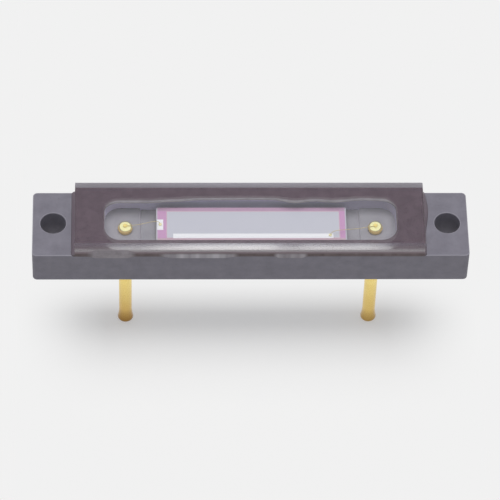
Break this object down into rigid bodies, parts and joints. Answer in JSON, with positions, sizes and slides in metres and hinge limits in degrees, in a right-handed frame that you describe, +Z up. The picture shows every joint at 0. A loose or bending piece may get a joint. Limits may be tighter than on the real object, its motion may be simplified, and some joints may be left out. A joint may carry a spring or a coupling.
{
  "type": "windowed photodiode",
  "caption": "Photodiode on a long grey ceramic base: a strip-shaped silicon die in a cavity under a glued glass window, round leads below and a mounting hole at each end.",
  "frame": {"origin": "centre of the base's underside, the seating plane that the leads come out of", "axes": "+X along the base from the cathode lead to the anode lead, +Y from front to back, +Z up towards the window"},
  "size_m": [0.015, 0.0028, 0.006],
  "materials": {
    "ceramic": "fine matt, dark grey with a violet tinge",
    "gold": "satin gold plating",
    "sealing_glass": "dark glossy sealing glass",
    "die_attach": "matt filled resin",
    "die_oxide": "polished, with a pink oxide tint",
    "die_active": "polished grey, coated against reflections",
    "contact_metal": "bright evaporated metal",
    "wire_gold": "bright drawn gold",
    "adhesive": "cured brown resin, glossy where it has run out",
    "window": "clear, polished faces and ground edges"
  },
  "bodies": {
    "root": {"ceramic_base": "ceramic", "cathode_lead": "gold", "anode_lead": "gold", "cathode_lead_seal": "sealing_glass", "anode_lead_seal": "sealing_glass", "die_attach": "die_attach", "silicon_die": "die_oxide", "active_area": "die_active", "anode_strip": "contact_metal", "cathode_pad": "contact_metal", "cathode_bond_wire": "wire_gold", "anode_bond_wire": "wire_gold", "window_adhesive": "adhesive", "window_glass": "window"}
  },
  "joints": []
}
